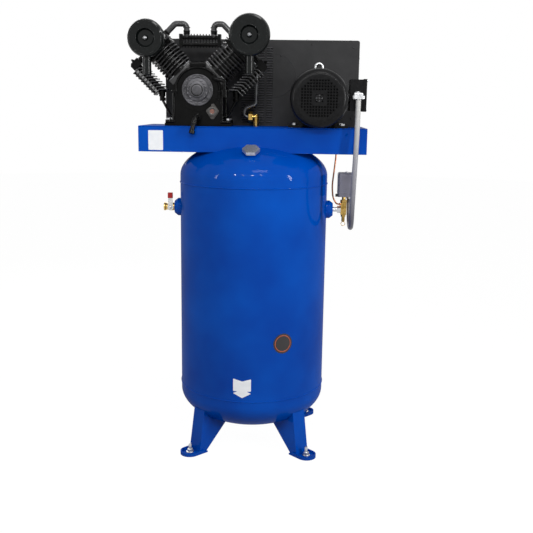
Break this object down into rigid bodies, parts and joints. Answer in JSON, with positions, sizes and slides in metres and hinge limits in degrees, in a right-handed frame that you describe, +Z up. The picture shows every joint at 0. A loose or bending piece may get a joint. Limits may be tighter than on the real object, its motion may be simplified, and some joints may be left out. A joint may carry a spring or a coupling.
{
  "type": "vertical_tank_air_compressor",
  "caption": "Upright blue-enamelled air receiver on legs with a top deck carrying a V-twin belt-driven pump, belt guard, electric motor, pressure switch and outlet valve.",
  "frame": {"origin": "On the floor, midway between the four foot holes, which is where the tank axis meets the floor.", "axes": "+X towards the motor end of the deck, +Y from the pump front towards the belt guard, +Z up the tank axis."},
  "size_m": [0.9391, 0.615, 1.7635],
  "materials": {
    "blue_enamel": "gloss",
    "black_cast": "painted",
    "black_paint": "semi-gloss",
    "guard_grey": "matte",
    "grey_cover": "as cast",
    "zinc_steel": "plated",
    "dark_steel": "machined",
    "aluminium": "cast",
    "brass": "machined",
    "copper_tube": "drawn",
    "switch_plastic": "moulded",
    "red_plastic": "dipped",
    "clear_glass": "clear",
    "filter_paper": "pleated",
    "belt_rubber": "moulded",
    "conduit_pvc": "extruded"
  },
  "bodies": {
    "frame": {"air_filter_covers": "black_paint", "air_filter_elements": "filter_paper", "air_filter_left": "black_paint", "air_filter_right": "black_paint", "belt_guard_back": "guard_grey", "belt_guard_front": "guard_grey", "bolts": "zinc_steel", "conduit_connectors": "zinc_steel", "crankcase": "black_cast", "crankcase_fittings": "black_cast", "cylinder_head_left": "black_cast", "cylinder_head_right": "black_cast", "cylinder_left": "black_cast", "cylinder_right": "black_cast", "discharge_elbow": "brass", "discharge_tube": "aluminium", "fan_cover": "black_paint", "front_bearing_cover": "grey_cover", "leg_front_left": "blue_enamel", "leg_front_right": "blue_enamel", "leg_rear_left": "blue_enamel", "leg_rear_right": "blue_enamel", "motor_end_bells": "black_paint", "motor_frame": "black_paint", "oil_drain_pipe": "black_cast", "outlet_valve_body": "brass", "platform": "blue_enamel", "power_conduit": "conduit_pvc", "pressure_switch_base": "switch_plastic", "pressure_switch_cover": "switch_plastic", "safety_valve_body": "brass", "shaft_bearings": "dark_steel", "side_cooler_left": "black_paint", "side_cooler_right": "black_paint", "sight_glass_frame": "brass", "sight_glass_lens": "clear_glass", "switch_manifold": "brass", "switch_nipple": "zinc_steel", "tank_bottom_head": "blue_enamel", "tank_plugs": "zinc_steel", "tank_port_bosses": "blue_enamel", "tank_shell": "blue_enamel", "tank_top_head": "blue_enamel", "terminal_box": "black_paint", "terminal_box_cover": "black_paint", "top_cooler": "black_paint", "unloader_tube": "copper_tube", "v_belts": "belt_rubber"},
    "crank_train": {"crankshaft": "dark_steel", "flywheel": "black_cast"},
    "motor_train": {"motor_rotor": "dark_steel", "cooling_fan": "black_paint", "motor_pulley": "black_cast"},
    "piston_left": {"piston_left": "aluminium"},
    "piston_right": {"piston_right": "aluminium"},
    "outlet_handle": {"outlet_valve_ball": "zinc_steel", "outlet_valve_lever": "zinc_steel", "outlet_valve_grip": "red_plastic"},
    "switch_lever": {"pressure_switch_lever": "switch_plastic"},
    "safety_pull": {"safety_valve_pull": "brass"}
  },
  "joints": [
    {"name": "crank_turn", "type": "hinge", "parent": "frame", "child": "crank_train", "pos_m": [-0.219, 0, 1.479], "axis": [0, 1, 0], "continuous": true},
    {"name": "motor_turn", "type": "hinge", "parent": "frame", "child": "motor_train", "pos_m": [0.258, 0, 1.453], "axis": [0, 1, 0], "continuous": true},
    {"name": "piston_left_slide", "type": "slide", "parent": "frame", "child": "piston_left", "axis": [-0.7071, 0, 0.7071], "range_m": [-0.044, 0.004]},
    {"name": "piston_right_slide", "type": "slide", "parent": "frame", "child": "piston_right", "axis": [0.7071, 0, 0.7071], "range_m": [-0.044, 0.004]},
    {"name": "outlet_handle_turn", "type": "hinge", "parent": "frame", "child": "outlet_handle", "pos_m": [-0.3471, 0, 1.001], "axis": [0, -1, 0], "range_deg": [0, 90]},
    {"name": "switch_lever_turn", "type": "hinge", "parent": "frame", "child": "switch_lever", "pos_m": [0.349, -0.0185, 1.065], "axis": [1, 0, 0], "range_deg": [-25, 25]},
    {"name": "safety_pull_slide", "type": "slide", "parent": "frame", "child": "safety_pull", "axis": [0, 0, -1], "range_m": [0, 0.004], "stiffness_N_per_m": 900, "springref_m": -0.001}
  ],
  "couplings": [
    {"joint": "motor_turn", "follows": "crank_turn", "ratio": 2.4615}
  ]
}
